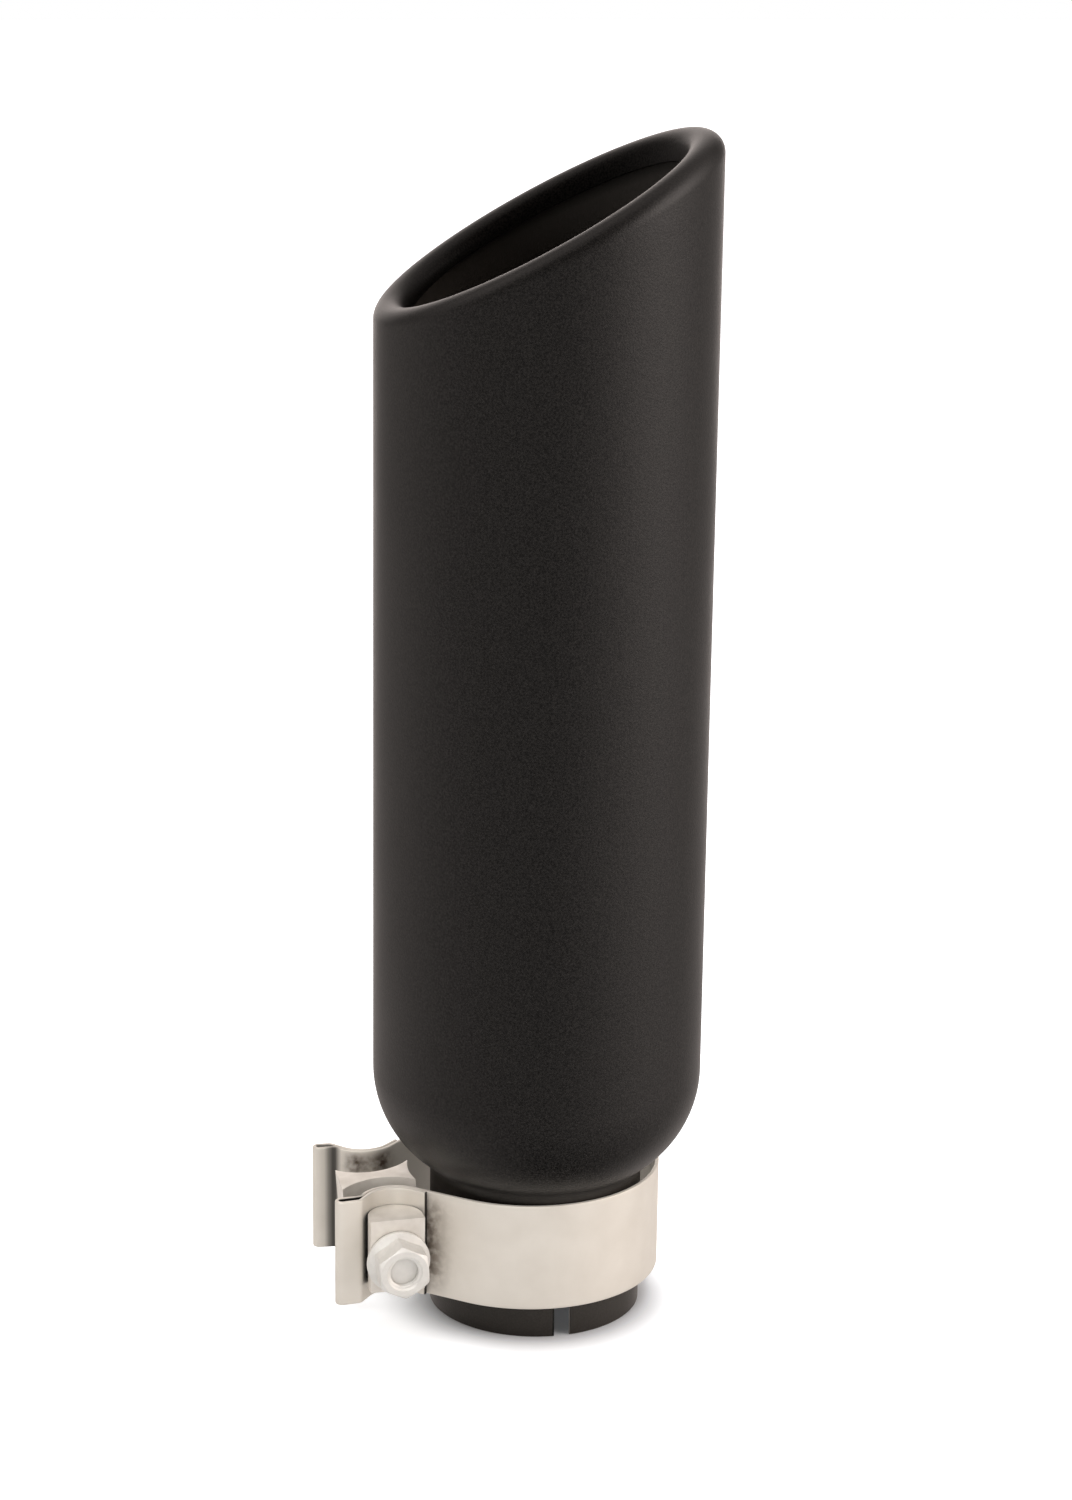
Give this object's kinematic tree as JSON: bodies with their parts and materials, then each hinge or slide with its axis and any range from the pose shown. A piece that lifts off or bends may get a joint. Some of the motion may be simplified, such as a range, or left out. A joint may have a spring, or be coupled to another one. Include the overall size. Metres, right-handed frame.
{
  "type": "exhaust tip",
  "caption": "Slash-cut exhaust tip with a rolled-in mouth and a slotted neck that slips over a tail pipe, held by a bolted band clamp.",
  "frame": {"origin": "centre of the neck's open end, on which the tip stands", "axes": "+Z along the gas flow, from neck to mouth; +X towards the tall side of the slash cut"},
  "size_m": [0.1177, 0.1016, 0.3641],
  "materials": {
    "black_coat": "satin black powder coat",
    "band_steel": "mill-finish stainless strip",
    "bar_steel": "bright drawn bar",
    "fastener_steel": "bright plated"
  },
  "bodies": {
    "root": {"tip_shell": "black_coat", "clamp_band": "band_steel", "reaction_block": "bar_steel", "nut_side_saddle": "bar_steel", "head_side_saddle": "bar_steel", "clamp_bolt": "fastener_steel", "clamp_nut": "fastener_steel"}
  },
  "joints": []
}
